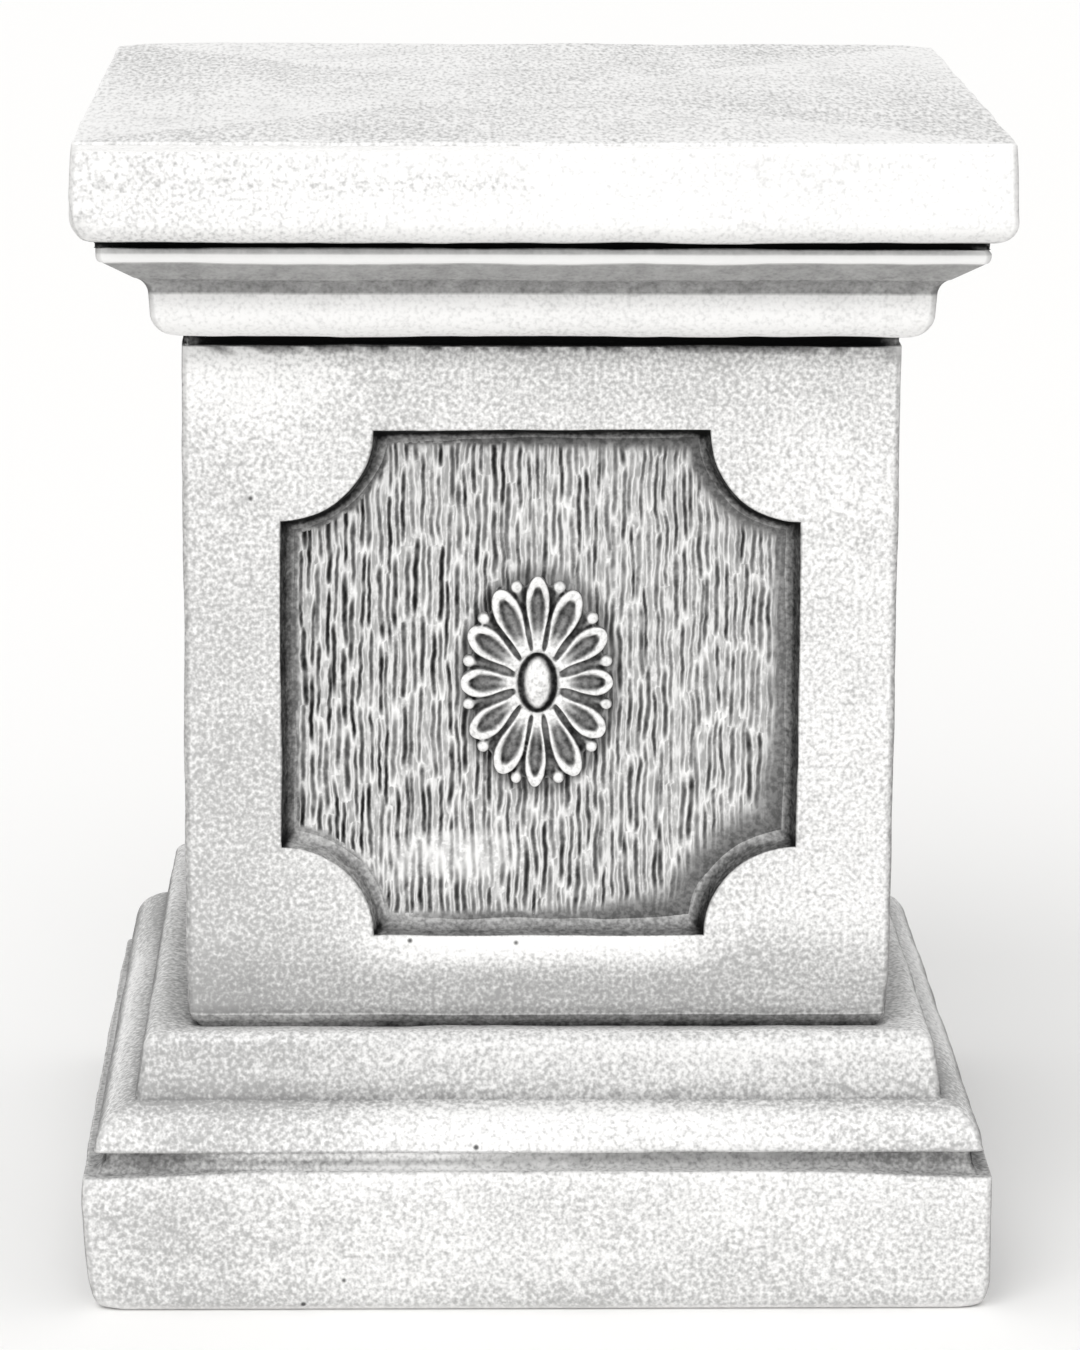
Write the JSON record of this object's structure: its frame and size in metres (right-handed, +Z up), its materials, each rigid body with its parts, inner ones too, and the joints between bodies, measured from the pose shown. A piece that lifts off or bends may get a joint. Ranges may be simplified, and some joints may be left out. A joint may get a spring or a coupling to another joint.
{
  "type": "garden plinth",
  "caption": "Square garden plinth of pale cast stone: moulded cap and base, sunk panels with quadrant corners, an oval flower on the front. Carries an urn or statue.",
  "frame": {"origin": "middle of the underside of the block, on the ground", "axes": "+Z up, +X to the right as the carved front is looked at, -Y out of the carved front"},
  "size_m": [0.3624, 0.3624, 0.463],
  "materials": {
    "cast_stone": "matt, fine grained, darker in the recesses"
  },
  "bodies": {
    "root": {"plinth": "cast_stone"}
  },
  "joints": []
}
